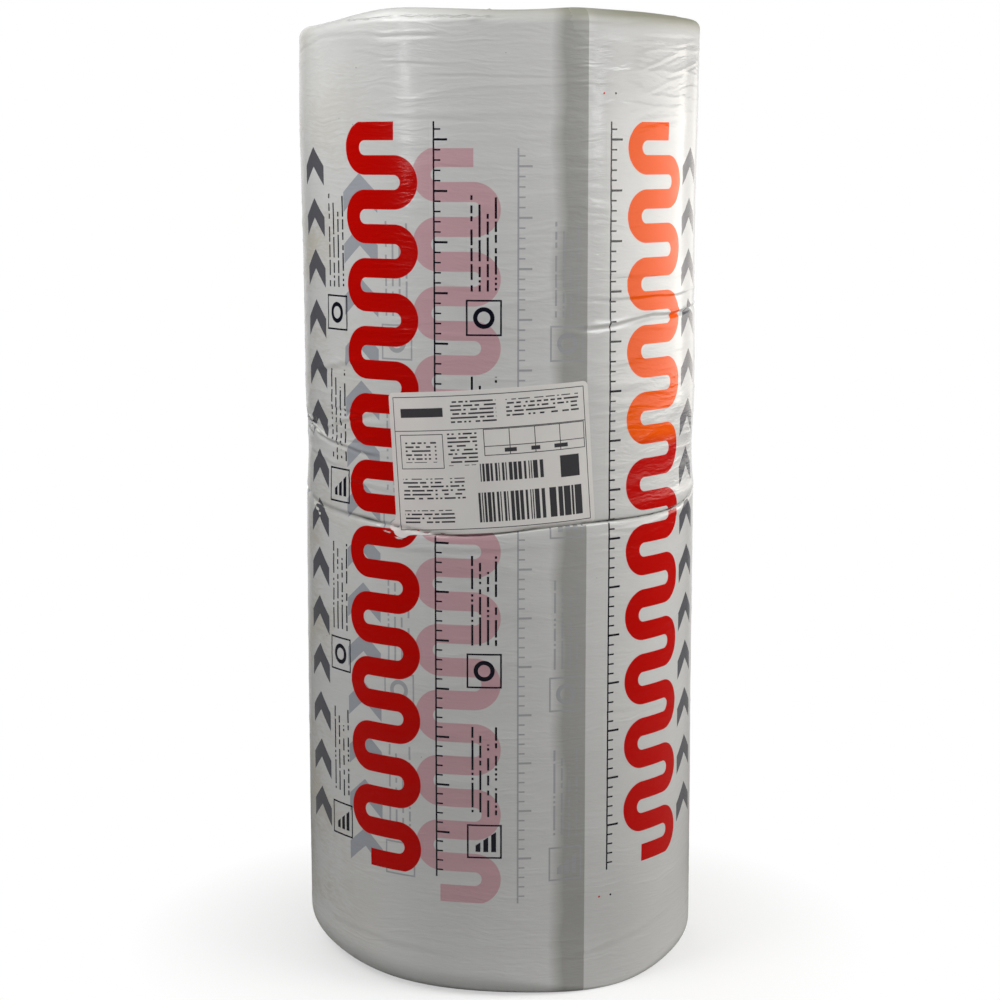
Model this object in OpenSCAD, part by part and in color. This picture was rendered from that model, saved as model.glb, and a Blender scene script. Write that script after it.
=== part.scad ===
// Insulation roll: two mineral wool mats, each wound up on itself, stood end on end in one film wrap.
// Lengths are in millimetres and angles in degrees. Z is up, and the labelled side faces -Y.

/* [Mats] */
// Outer diameter of a wound mat
roll_d = 418.4; // [320:0.1:700]
// Diameter of the bore that the winding bar leaves
bore_d = 50; // [20:1:100]
// Height of the lower roll, which is the width of its mat
lower_mat_w = 492; // [300:1:1200]
// Height of the upper roll, which is the width of its mat
upper_mat_w = 508; // [300:1:1200]
// Length of each mat, which sets how close its turns lie
mat_l = 6100; // [4000:50:12000]
// Rounding that the tight film gives the outer edges of a roll
edge_r = 24; // [10:1:60]
// Width of the open seam between two turns
seam_w = 3; // [1:0.5:5]
// Depth of that seam in an end face
seam_depth = 6; // [1:0.5:20]

/* [Film] */
// Thickness of the film with all its layers
film_t = 0.5; // [0.2:0.1:2]
// Clearance between the film and the wool
film_gap = 0.3; // [0.1:0.1:2]
// Width of the film turned in over each end, from the outside of the roll
lip_w = 90; // [65:1:130]
// Depth of the waist where the film is drawn into the joint of the two rolls
waist_depth = 4; // [1:0.5:6]

/* [Label] */
// Width of the label, along the curve of the roll
label_w = 208; // [100:1:300]
// Height of the label
label_h = 144; // [60:1:240]
// Thickness of the label
label_t = 0.3; // [0.1:0.1:1]
// Clearance between the label and the film
label_gap = 0.1; // [0.1:0.1:1]
// Rounding of the label's corners
label_corner_r = 5; // [1:1:20]
// Height of the label's middle over the joint of the two rolls
label_rise = 66; // [40:1:150]
// Turn of the label around the roll, to the right of the front
label_turn = -2.6; // [-180:0.1:180]
// Lean of the label, its right side up
label_lean = 3.8; // [-15:0.1:15]

/* [Hidden] */
$fn = 96;
// How far a cut runs past the face that it opens
overrun = 2;

roll_r = roll_d / 2;
bore_r = bore_d / 2;

// One turn of mat takes as much area of the end face as its thickness does of the mat's edge.
turn_pitch = PI * (roll_r * roll_r - bore_r * bore_r) / mat_l;
// The seam runs as a spiral from half a turn out of the bore to the middle of the rounded edge
seam_start = 180;
seam_step = 15;
seam_outer_r = roll_r - edge_r / 2;
seam_end = floor((seam_outer_r - bore_r) / turn_pitch * 360 / seam_step) * seam_step;

film_inset = film_t + film_gap;
film_r = roll_r + film_inset;
film_rim_r = edge_r + film_inset;
lip_r = film_r - lip_w;
lower_z = film_inset;
joint_z = lower_z + lower_mat_w;
film_h = joint_z + upper_mat_w + film_inset;
// The waist spans the inner half of each of the two rounded edges that meet at the joint
waist_half_h = edge_r / 2;

label_in_r = film_r + label_gap;
label_out_r = label_in_r + label_t;
label_z = joint_z + label_rise;
label_half_angle = label_w / 2 / label_in_r * 180 / PI;
label_chord = 2 * label_in_r * sin(label_half_angle);

// Half section of a barrel with rounded outer edges, from its axis out
module barrel_section(radius, base, height, round) {
    translate([0, base])
        square([radius - round, height]);
    translate([0, base + round])
        square([radius, height - 2 * round]);
    for (level = [base + round, base + height - round])
        translate([radius - round, level])
            circle(r = round);
}

// Point at the given angle along the winding spiral, moved out from the middle of the seam
function spiral_point(angle, out) =
    (bore_r + turn_pitch * angle / 360 + out) * [cos(angle), sin(angle)];

// The open seam between the turns, to cut from an end face
module winding_seam() {
    linear_extrude(seam_depth + overrun)
        polygon([
            for (angle = [seam_start : seam_step : seam_end]) spiral_point(angle, -seam_w / 2),
            for (angle = [seam_end : -seam_step : seam_start]) spiral_point(angle, seam_w / 2)
        ]);
}

module mat_roll(height) {
    difference() {
        rotate_extrude()
            difference() {
                barrel_section(roll_r, 0, height, edge_r);
                translate([0, -overrun])
                    square([bore_r, height + 2 * overrun]);
            }
        for (level = [-overrun, height - seam_depth])
            translate([0, 0, level])
                winding_seam();
    }
}

// Half section of what the film holds, moved in from the film's outside and drawn in at the waist
module wrapped_section(inset) {
    radius = film_r - inset;
    difference() {
        barrel_section(radius, inset, film_h - 2 * inset, film_rim_r - inset);
        polygon([
            [radius + overrun, joint_z + waist_half_h],
            [radius, joint_z + waist_half_h],
            [radius - waist_depth, joint_z],
            [radius, joint_z - waist_half_h],
            [radius + overrun, joint_z - waist_half_h]
        ]);
    }
}

module rounded_plate(width, height, round) {
    square([width - 2 * round, height], center = true);
    square([width, height - 2 * round], center = true);
    for (x = [-1, 1], y = [-1, 1])
        translate([x * (width / 2 - round), y * (height / 2 - round)])
            circle(r = round);
}

module lower_mat_roll() {
    color("darkkhaki")
        translate([0, 0, lower_z])
            mat_roll(lower_mat_w);
}

module upper_mat_roll() {
    color("darkkhaki")
        translate([0, 0, joint_z])
            mat_roll(upper_mat_w);
}

module film_wrap() {
    color("gainsboro")
        rotate_extrude()
            difference() {
                wrapped_section(0);
                wrapped_section(film_t);
                translate([0, -overrun])
                    square([lip_r, film_h + 2 * overrun]);
            }
}

module label() {
    color("white")
        intersection() {
            difference() {
                cylinder(r = label_out_r, h = film_h);
                translate([0, 0, -overrun])
                    cylinder(r = label_in_r, h = film_h + 2 * overrun);
            }
            translate([0, 0, label_z])
                rotate([0, 0, label_turn])
                    rotate([90, -label_lean, 0])
                        linear_extrude(label_out_r + overrun)
                            rounded_plate(label_chord, label_h, label_corner_r);
        }
}

lower_mat_roll();
upper_mat_roll();
film_wrap();
label();
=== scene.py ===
"""Dresses the insulation roll: two wound wool mats in one printed film wrap, with a label on its front."""

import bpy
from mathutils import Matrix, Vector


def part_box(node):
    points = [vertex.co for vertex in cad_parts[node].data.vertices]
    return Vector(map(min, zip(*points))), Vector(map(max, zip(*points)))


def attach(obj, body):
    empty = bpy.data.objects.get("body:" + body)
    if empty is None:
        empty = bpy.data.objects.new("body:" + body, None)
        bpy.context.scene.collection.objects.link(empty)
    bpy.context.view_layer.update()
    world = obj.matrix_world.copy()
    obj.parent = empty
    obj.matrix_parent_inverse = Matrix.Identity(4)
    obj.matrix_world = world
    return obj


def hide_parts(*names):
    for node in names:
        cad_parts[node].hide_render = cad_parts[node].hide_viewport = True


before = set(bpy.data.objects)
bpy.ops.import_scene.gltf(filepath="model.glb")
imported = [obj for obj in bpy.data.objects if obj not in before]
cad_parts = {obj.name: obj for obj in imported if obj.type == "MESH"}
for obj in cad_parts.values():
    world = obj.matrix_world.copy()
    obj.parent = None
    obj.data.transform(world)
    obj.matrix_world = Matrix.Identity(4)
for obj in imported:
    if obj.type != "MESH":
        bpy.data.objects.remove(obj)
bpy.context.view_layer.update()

import ast
import logging
import math
from dataclasses import dataclass, field
from enum import Enum
from typing import Any, Callable, Sequence

import bpy
import numpy as np

MM = 0.001
LOG = logging.getLogger("insulation_roll")
Array = np.ndarray
Place = Callable[[Array, Array], Array]


class Slot(Enum):
    """The record's material slots."""

    WOOL = "wool"
    FILM = "film"
    LABEL = "label"


class Side(Enum):
    """The two ends of the roll, as the sign of their outward direction."""

    LOWER = -1
    UPPER = 1


def linear(hex_code: str) -> tuple[float, float, float, float]:
    """Turns an sRGB hex value into linear colour with full alpha.

    Args:
        hex_code: Six hex digits, with or without a leading mark.
    Returns:
        Linear red, green, blue and an alpha of one.
    """
    digits = hex_code.lstrip("#")
    shares = [int(digits[place:place + 2], 16) / 255 for place in (0, 2, 4)]
    lit = [share / 12.92 if share <= 0.04045 else ((share + 0.055) / 1.055) ** 2.4 for share in shares]
    return (*lit, 1.0)


def add_node(tree: bpy.types.NodeTree, kind: str, feeds: dict[Any, Any] | None = None,
             **settings: Any) -> bpy.types.Node:
    """Adds a node with its settings and links.

    Args:
        tree: Node tree that takes the node.
        kind: Blender's name for the type of node.
        feeds: For each input, by name or number, the socket or the constant that feeds it.
        settings: Properties of the node.
    Returns:
        The new node.
    """
    node = tree.nodes.new(kind)
    for name, value in settings.items():
        setattr(node, name, value)
    for key, value in (feeds or {}).items():
        if isinstance(value, bpy.types.NodeSocket):
            tree.links.new(value, node.inputs[key])
        else:
            node.inputs[key].default_value = value
    return node


class Formula:
    """Writes arithmetic on a surface as nodes, from formulas in plain text."""

    OPERATIONS = {
        ast.Add: "ADD", ast.Sub: "SUBTRACT", ast.Mult: "MULTIPLY", ast.Div: "DIVIDE",
        ast.Lt: "LESS_THAN", ast.Gt: "GREATER_THAN",
        "abs": "ABSOLUTE", "floor": "FLOOR", "max": "MAXIMUM", "min": "MINIMUM", "mod": "FLOORED_MODULO",
        "root": "SQRT",
    }

    def __init__(self, tree: bpy.types.NodeTree, **names: Any) -> None:
        """Keeps the tree and the named sockets and constants that the formulas may use."""
        self.tree = tree
        self.names = names

    def write(self, name: str, text: str) -> bpy.types.NodeSocket:
        """Adds the nodes of a formula and names its result for later formulas.

        Args:
            name: Name that later formulas give the result.
            text: Formula in the names known so far.
        Returns:
            The socket that carries the result.
        """
        self.names[name] = self._part(ast.parse(text).body[0].value)
        return self.names[name]

    def _part(self, part: ast.expr) -> Any:
        """Turns one part of a formula into a constant or into the output of a node.

        Args:
            part: Part of the parsed formula.
        Returns:
            The constant or the socket.
        """
        if isinstance(part, ast.Constant):
            return float(part.value)
        if isinstance(part, ast.Name):
            return self.names[part.id]
        if isinstance(part, ast.UnaryOp):
            return -float(part.operand.value)
        if isinstance(part, ast.BinOp):
            return self._math(self.OPERATIONS[type(part.op)], [part.left, part.right])
        if isinstance(part, ast.Compare):
            return self._math(self.OPERATIONS[type(part.ops[0])], [part.left, part.comparators[0]])
        if part.func.id == "clamp":
            return self._math("ADD", [*part.args, ast.Constant(0)], use_clamp=True)
        return self._math(self.OPERATIONS[part.func.id], part.args)

    def _math(self, operation: str, parts: Sequence[ast.expr], **settings: Any) -> bpy.types.NodeSocket:
        """Adds the node of one operation, fed by the parts that it joins."""
        feeds = dict(enumerate(self._part(part) for part in parts))
        return add_node(self.tree, "ShaderNodeMath", feeds, operation=operation, **settings).outputs[0]


@dataclass(frozen=True)
class Weave:
    """Smooth random relief on the unrolled film, which closes on itself round the roll."""

    period: float
    seed: int
    rows: int = 97

    def at(self, across: Array, up: Array, wide: float, high: float) -> Array:
        """Value of the relief, from minus one to one.

        Args:
            across: Arc length round the roll.
            up: Height along the film.
            wide: Typical length of a form round the roll.
            high: Typical height of a form.
        Returns:
            One value for each point.
        """
        columns = max(3, round(self.period / wide))
        table = np.random.default_rng(self.seed).uniform(-1, 1, (columns, self.rows))
        x = (across / self.period) * columns
        y = up / high
        left, low = np.floor(x).astype(int), np.floor(y).astype(int)
        fx, fy = x - left, y - low
        fx, fy = fx * fx * (3 - 2 * fx), fy * fy * (3 - 2 * fy)
        a, b = left % columns, (left + 1) % columns
        c, d = low % self.rows, (low + 1) % self.rows
        lower = table[a, c] * (1 - fx) + table[b, c] * fx
        upper = table[a, d] * (1 - fx) + table[b, d] * fx
        return lower * (1 - fy) + upper * fy


def hump(values: Array, middle: float, half_width: float) -> Array:
    """Bell curve of height one over its middle.

    Args:
        values: Places where the curve is read.
        middle: Place of its top.
        half_width: Distance over which it falls to about a third.
    Returns:
        The curve's height at each place.
    """
    return np.exp(-((values - middle) / half_width) ** 2)


def angle_hump(angles: Array, middle: float, half_width: float) -> Array:
    """Bell curve round the roll, read across the shorter way.

    Args:
        angles: Angles from the front, in radians.
        middle: Angle of its top, in degrees.
        half_width: Angle over which it falls to about a third, in degrees.
    Returns:
        The curve's height at each angle.
    """
    turn = (angles - math.radians(middle) + math.pi) % (2 * math.pi) - math.pi
    return np.exp(-(turn / math.radians(half_width)) ** 2)


def spread(weights: Array, ends: tuple[float, float], count: int) -> Array:
    """Stations between two ends that lie closer where their weight is larger.

    Args:
        weights: Weight at evenly spaced places from end to end.
        ends: First and last station.
        count: Number of stations.
    Returns:
        The stations in rising order.
    """
    places = np.linspace(*ends, len(weights))
    share = np.concatenate([[0.0], np.cumsum((weights[1:] + weights[:-1]) / 2)])
    return np.interp(np.linspace(0, 1, count), share / share[-1], places)


def lay_grid(name: str, columns: int, rows: int, place: Place) -> bpy.types.Object:
    """Adds a grid and moves each of its points to where the sheet lies.

    Args:
        name: Name of the new object.
        columns: Faces along the sheet.
        rows: Faces across the sheet.
        place: Gives the points for shares along and across the sheet, from zero to one.
    Returns:
        The new object, at the origin, with its place in its mesh.
    """
    bpy.ops.object.select_all(action="DESELECT")
    bpy.ops.mesh.primitive_grid_add(x_subdivisions=columns, y_subdivisions=rows, size=1, calc_uvs=True)
    piece = bpy.context.object
    piece.name = piece.data.name = name
    flat = np.empty(len(piece.data.vertices) * 3)
    piece.data.vertices.foreach_get("co", flat)
    shares = np.clip(flat.reshape(-1, 3)[:, :2] + 0.5, 0, 1)
    piece.data.vertices.foreach_set("co", place(shares[:, 0], shares[:, 1]).ravel())
    piece.data.update()
    return piece


def corner_shares(piece: bpy.types.Object) -> tuple[Array, Array]:
    """Shares along and across a laid grid, from its first map.

    Args:
        piece: The laid grid.
    Returns:
        Both shares at each corner of its faces.
    """
    layer = piece.data.uv_layers[0]
    flat = np.empty(len(piece.data.loops) * 2)
    layer.data.foreach_get("uv", flat)
    return flat[0::2].copy(), flat[1::2].copy()


def write_map(piece: bpy.types.Object, name: str, across: Array, up: Array) -> None:
    """Writes a map on a piece, made first if the piece has none of that name.

    Args:
        piece: Object that carries the map.
        name: Name of the map.
        across: First coordinate at each corner of the faces.
        up: Second coordinate at each corner of the faces.
    """
    layers = piece.data.uv_layers
    layer = layers.get(name) or layers.new(name=name)
    layer.data.foreach_set("uv", np.stack([across, up], axis=1).ravel())


def in_edit_mode(piece: bpy.types.Object, *steps: Callable[[], Any]) -> None:
    """Runs mesh operators on all of a piece.

    Args:
        piece: Object to edit.
        steps: Operators, each as a call with no arguments.
    """
    bpy.ops.object.select_all(action="DESELECT")
    piece.select_set(True)
    bpy.context.view_layer.objects.active = piece
    bpy.ops.object.mode_set(mode="EDIT")
    bpy.ops.mesh.select_all(action="SELECT")
    for step in steps:
        step()
    bpy.ops.object.mode_set(mode="OBJECT")


def apply_modifier(piece: bpy.types.Object, kind: str, **settings: Any) -> None:
    """Adds a modifier to a piece and applies it.

    Args:
        piece: Object to change.
        kind: Blender's name for the type of modifier.
        settings: Properties of the modifier.
    """
    bpy.context.view_layer.objects.active = piece
    modifier = piece.modifiers.new(kind.lower(), kind)
    for name, value in settings.items():
        setattr(modifier, name, value)
    bpy.ops.object.modifier_apply(modifier=modifier.name)


def smooth_shade(piece: bpy.types.Object, degrees: float) -> None:
    """Shades a piece smooth.

    Args:
        piece: Object to shade.
        degrees: Angle above which an edge stays sharp.
    """
    bpy.ops.object.select_all(action="DESELECT")
    piece.select_set(True)
    bpy.context.view_layer.objects.active = piece
    bpy.ops.object.shade_smooth_by_angle(angle=math.radians(degrees))


def new_material(name: str) -> tuple[bpy.types.Material, bpy.types.Node]:
    """Makes a node material.

    Args:
        name: Name of the real material.
    Returns:
        The material and its surface shader.
    """
    material = bpy.data.materials.new(name)
    material.use_nodes = True
    return material, material.node_tree.nodes["Principled BSDF"]


@dataclass(frozen=True)
class PrintLayout:
    """Places and sizes of the printed motifs on the unrolled film, in millimetres."""

    period: float
    low: float = 127.5
    high: float = 892.5
    loops_at: tuple[float, ...] = (-128, 182)
    loop_bend: float = 17
    loop_arm: float = 18
    loop_stroke: float = 20
    rule_at: tuple[float, ...] = (-66, 116)
    rule_tick: float = 7
    arrows_at: tuple[float, ...] = (-238, 258)
    arrow_half: float = 24
    arrow_pitch: float = 52
    arrow_stroke: float = 20
    frames_at: tuple[float, ...] = (-16, -192)
    frame_pitch: float = 178
    frame_half: float = 17
    frames_low: float = 146
    dots_at: tuple[float, ...] = (107, 121)
    dots_middle: float = 510
    dots_apart: float = 410
    dot_r: float = 1.1
    line_pitch: float = 8
    ghost_shift: float = 84
    ghost_drop: float = 26
    inner_edge: float = 89.5
    strip_w: float = 38

    def sizes(self) -> dict[str, float]:
        """The single sizes, by name, without the rows of places."""
        return {name: size for name, size in vars(self).items() if not isinstance(size, tuple)}


class Layer(Enum):
    """The two layers of film that show: the outer one, and the one beneath that shows through it."""

    BENEATH = "beneath"
    OUTER = "outer"


@dataclass(frozen=True)
class PrintedFilm:
    """Printed low-density polyethylene, blown and stretched tight.

    It is milky and glossy, with fine crisp draw lines round the roll, drawn as coarse as they need to
    show. The print of the layer beneath shows through it, pale, up to that layer's edge, and a band along
    that edge is darkened with painted shade. Painted light and shade also stand elsewhere: a sheen on the
    red, a highlight under the crease, light at the upper left, and shade in the creases, low on the right
    and on the upper rim. In the formulas, u is the distance to the right of the front and v the height up
    the film, both in millimetres.
    """

    layout: PrintLayout
    film: str = "#D3D3D2"
    # Painted shade on the band along the edge of the layer beneath; the inner face is mottled with it too
    strip: str = "#A4A4A1"
    red: str = "#BE0601"
    # Lighter, more orange red for the painted sheen on the right of the upper roll
    painted_sheen_red: str = "#F25A00"
    grey: str = "#5C5C62"
    black: str = "#10101E"
    pink: str = "#C79BA3"
    ghost_grey: str = "#9A9EA6"
    ghost_line: str = "#A3A4A8"
    dust: str = "#B3A98F"
    # Lighter film: whitened along the folds, and painted light at the upper left and a painted highlight
    # under the crease
    whitened_and_lit: str = "#ECECE8"
    shadow: str = "#232325"
    # Olive of the thin upper rim, which also darkens it as painted shade on the right
    thin: str = "#9B9A83"
    ior: float = 1.51
    draw_long: float = 64 * MM
    draw_high: float = 5 * MM
    crinkle_long: float = 11 * MM
    crinkle_high: float = 2.4 * MM
    waver: tuple[float, float, float] = (20 * MM, 20 * MM, 30 * MM)
    speck: float = 24 * MM
    cloud: float = 95 * MM
    creases: tuple[tuple[tuple[float, float], tuple[float, float], float, float], ...] = (
        ((-335, 584), (-240, 582), 2.4, 1.0), ((-272, 580), (-246, 576), 2.8, 0.9),
        ((-302, 574), (-256, 568), 2.0, 0.8), ((-263, 579), (-257, 566), 1.8, 0.7),
        ((-176, 991.2), (-106, 994.2), 1.4, 0.35), ((-108, 994), (-4, 992.6), 1.3, 0.35),
    )

    def make(self) -> bpy.types.Material:
        """Builds the material.

        Returns:
            The film's material, which reads the film's own map in metres.
        """
        material, shader = new_material("printed_polyethylene_film")
        tree = material.node_tree
        wrap = add_node(tree, "ShaderNodeUVMap", uv_map="wrap")
        in_mm = add_node(tree, "ShaderNodeVectorMath", {0: wrap.outputs[0], 1: (1 / MM,) * 3},
                         operation="MULTIPLY")
        parts = add_node(tree, "ShaderNodeSeparateXYZ", {0: in_mm.outputs[0]})
        place = add_node(tree, "ShaderNodeTexCoord").outputs["Object"]
        cloud = self._noise(tree, place, self.cloud, 0.7 * self.cloud, 3)
        bent = add_node(tree, "ShaderNodeVectorMath", {0: cloud, 1: self.waver, 2: place},
                        operation="MULTIPLY_ADD").outputs[0]
        draw = self._noise(tree, bent, self.draw_long, self.draw_high, 2, "RIDGED_MULTIFRACTAL")
        crinkle = self._noise(tree, bent, self.crinkle_long, self.crinkle_high, 2)
        wear = add_node(tree, "ShaderNodeAttribute", attribute_name="wear").outputs["Fac"]
        specks = add_node(tree, "ShaderNodeTexVoronoi",
                          {"Vector": place, "Scale": 1 / self.speck}).outputs[0]
        slit = add_node(tree, "ShaderNodeAttribute", attribute_name="slit").outputs["Fac"]
        formula = Formula(tree, u=parts.outputs[0], v=parts.outputs[1], cloud=cloud, draw=draw,
                          crinkle=crinkle, wear=wear, slit=slit, specks=specks, **self.layout.sizes())
        # Ink flakes off and the film whitens along the folds; just under the crease at the joint this is a
        # painted highlight.
        formula.write("flaked", "clamp((wear + 0.7 * crinkle - 0.75) * 5)")
        colour = self._print(tree, formula, self._bare(tree, formula))
        # The creases are sunk in the relief and darkened towards the shadow colour: painted shade.
        self._creases(formula)
        formula.write("crease_shade", "0.85 * creased")
        crease_shade = add_node(tree, "ShaderNodeMix", {"Factor": formula.names["crease_shade"], "A": colour,
                                                "B": linear(self.shadow)}, data_type="RGBA")
        tree.links.new(crease_shade.outputs["Result"], shader.inputs["Base Color"])
        shader.inputs["IOR"].default_value = self.ior
        tree.links.new(formula.write("gloss", "0.5 - 0.3 * covered"), shader.inputs["Specular IOR Level"])
        formula.write("rough", "0.1 + 0.12 * cloud + 0.06 * crinkle + 0.3 * clamp((v - 964) / 26) * "
                               "clamp((u - 60) / 40)")
        tree.links.new(formula.names["rough"], shader.inputs["Roughness"])
        formula.write("patch", "clamp(2.4 * cloud - 0.6)")
        formula.write("relief", "0.5 * draw * (0.35 + patch) + 0.4 * crinkle - 1.4 * creased")
        bump = add_node(tree, "ShaderNodeBump", {"Strength": 0.85, "Distance": 0.6 * MM,
                                                 "Height": formula.names["relief"]})
        tree.links.new(bump.outputs[0], shader.inputs["Normal"])
        return material

    def inside(self) -> bpy.types.Material:
        """Builds the plain material of the film's inner face.

        Returns:
            A milky film with no print.
        """
        material, shader = new_material("polyethylene_film_inside")
        tree = material.node_tree
        place = add_node(tree, "ShaderNodeTexCoord").outputs["Object"]
        cloud = self._noise(tree, place, self.cloud, self.cloud, 3)
        tone = add_node(tree, "ShaderNodeMix", {"Factor": cloud, "A": linear(self.film),
                                                "B": linear(self.strip)}, data_type="RGBA")
        tree.links.new(tone.outputs["Result"], shader.inputs["Base Color"])
        shader.inputs["Roughness"].default_value = 0.45
        shader.inputs["IOR"].default_value = self.ior
        return material

    @staticmethod
    def _noise(tree: bpy.types.NodeTree, place: bpy.types.NodeSocket, wide: float, high: float,
               detail: float, kind: str = "FBM") -> bpy.types.NodeSocket:
        """Adds noise that is drawn out round the roll.

        Args:
            tree: Node tree of the material.
            place: Socket with the place in metres.
            wide: Size of a form round the roll.
            high: Height of a form.
            detail: Octaves of finer noise.
            kind: Blender's name for the type of noise.
        Returns:
            The socket with the noise's value.
        """
        scaled = add_node(tree, "ShaderNodeVectorMath", {0: place, 1: (1 / wide, 1 / wide, 1 / high)},
                          operation="MULTIPLY")
        return add_node(tree, "ShaderNodeTexNoise",
                        {"Vector": scaled.outputs[0], "Scale": 1.0, "Detail": detail},
                        noise_type=kind).outputs[0]

    def _bare(self, tree: bpy.types.NodeTree, formula: Formula) -> bpy.types.NodeSocket:
        """Colours the bare film, dusty at its left, with painted shade along the edge of the layer beneath,
        on the right and on the upper rim, and painted light at the upper left.

        Args:
            tree: Node tree of the material.
            formula: Arithmetic on the film's map.
        Returns:
            The socket with the bare film's colour.
        """
        # The band along the edge of the layer beneath is darkened: painted shade.
        formula.write("strip", "clamp((u - inner_edge + strip_w + 20 * (cloud - 0.5)) / 15) * "
                               "(u < inner_edge)")
        # Dust in patches on the left, and single specks of dirt
        formula.write("dusty", "0.45 * clamp((0 - u - 110) / 130) * clamp((u + 560) / 160) * "
                               "clamp((cloud + 0.5 * crinkle - 0.72) * 5)")
        formula.write("dirty", "clamp((0.04 - specks) * 60) * (cloud > 0.56) * 0.6")
        # The upper rim is olive and darker towards the right: thin film over the wool, and painted shade
        # where it faces up.
        # It is paler at its left and on the wall below that: painted light.
        formula.write("left_rim", "clamp(1.6 - abs(u + 205) / 120)")
        formula.write("thin_rim_and_shade", "(0.4 + 0.45 * clamp((u - 40) / 100)) * "
                                 "clamp((v - 986 + 4 * clamp((u - 60) / 60)) / 14) * (1 - left_rim)")
        # Painted light: paler at the left of the upper rim and on the wall below it.
        formula.write("painted_light", "max(0.5 * clamp((v - 968) / 20) * left_rim, "
                               "0.5 * clamp((v - 790) / 130) * clamp((0 - u - 160) / 60) * "
                               "clamp((u + 560) / 160))")
        # Painted shade low down on the right and close under the upper rim
        formula.write("soiled", "(0.1 * clamp((320 - v) / 250) * clamp((u - 40) / 80) + "
                                "0.13 * clamp((v - 890) / 60) * clamp((u - 88) / 12)) * "
                                "clamp((430 - u) / 90)")
        # Random milky tone and stretch lines, times the painted shade above
        formula.write("tone_and_shade", "(0.9 + 0.14 * cloud + 0.04 * crinkle + 0.02 * draw) * (1 - soiled)")
        coats = (
            ("strip", linear(self.strip), "MIX"),
            ("dusty", linear(self.dust), "MIX"),
            ("dirty", linear(self.grey), "MIX"),
            ("thin_rim_and_shade", linear(self.thin), "MIX"),
            ("painted_light", linear(self.whitened_and_lit), "MIX"),
            (1.0, formula.names["tone_and_shade"], "MULTIPLY"),
            ("flaked", linear(self.whitened_and_lit), "MIX"),
        )
        colour = linear(self.film)
        for factor, tint, blend in coats:
            mixed = add_node(tree, "ShaderNodeMix",
                             {"Factor": formula.names.get(factor, factor), "A": colour, "B": tint},
                             data_type="RGBA", blend_type=blend)
            colour = mixed.outputs["Result"]
        return colour

    def _print(self, tree: bpy.types.NodeTree, formula: Formula,
               colour: bpy.types.NodeSocket) -> bpy.types.NodeSocket:
        """Prints the motifs, first those of the layer beneath and then the outer layer's own.

        On the right of the upper roll the red is lightened and turned orange: a painted sheen.

        Args:
            tree: Node tree of the material.
            formula: Arithmetic on the film's map.
            colour: The bare film's colour.
        Returns:
            The socket with the printed film's colour.
        """
        # Painted sheen: the red is lightened and turned orange on the right of the upper roll.
        formula.write("on_right", "clamp((u - 95) / 40) * clamp((430 - u) / 90)")
        formula.write("painted_sheen", "on_right * clamp((v - 562) / 16)")
        red = add_node(tree, "ShaderNodeMix", {"Factor": formula.names["painted_sheen"], "A": linear(self.red),
                                               "B": linear(self.painted_sheen_red)}, data_type="RGBA")
        inks = {Layer.BENEATH: (linear(self.ghost_grey), linear(self.ghost_line), linear(self.pink)),
                Layer.OUTER: (linear(self.grey), linear(self.black), red.outputs["Result"])}
        for layer in Layer:
            beneath = layer is Layer.BENEATH
            formula.write("x", "u - ghost_shift" if beneath else "u + 0")
            formula.write("y", "v + ghost_drop" if beneath else "v + 0")
            formula.write("shown", "0.9 * (u < inner_edge)" if beneath else "1 - flaked")
            masks = (self._arrows(formula), self._lines(tree, formula), self._loops(formula))
            for mask, ink in zip(masks, inks[layer]):
                formula.names["mask"] = mask
                factor = formula.write("covered", "mask * shown")
                mixed = add_node(tree, "ShaderNodeMix", {"Factor": factor, "A": colour, "B": ink},
                                 data_type="RGBA")
                colour = mixed.outputs["Result"]
        return colour

    def _creases(self, formula: Formula) -> None:
        """Writes creased, how deep a place lies in one of the sharp creases, from zero to one.

        Args:
            formula: Arithmetic on the film's map.
        """
        formula.write("creased", "0.9 * slit")
        for start, end, half, depth in self.creases:
            length = math.dist(start, end)
            a, b = (end[0] - start[0]) / length, (end[1] - start[1]) / length
            formula.write("run", f"(u - ({start[0]})) * ({a:.4f}) + (v - ({start[1]})) * ({b:.4f})")
            formula.write("off", f"(v - ({start[1]})) * ({a:.4f}) - (u - ({start[0]})) * ({b:.4f})")
            formula.write("line", f"clamp(1 - abs(off + 7 * (crinkle - 0.5)) / {half})")
            formula.write("ends", f"clamp(run / 8) * clamp(({length:.2f} - run) / 8) * {depth}")
            formula.write("creased", "max(creased, line * ends)")

    @staticmethod
    def _from_column(formula: Formula, places: Sequence[float]) -> None:
        """Writes p, the distance across the film from the nearest of a motif's columns.

        Args:
            formula: Arithmetic on the film's map.
            places: Where the columns stand.
        """
        formula.write("p", f"mod(x - ({places[0]}) + period / 2, period) - period / 2")
        for place in places[1:]:
            formula.write("other", f"mod(x - ({place}) + period / 2, period) - period / 2")
            formula.write("p", "p + (other - p) * (abs(other) < abs(p))")

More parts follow.
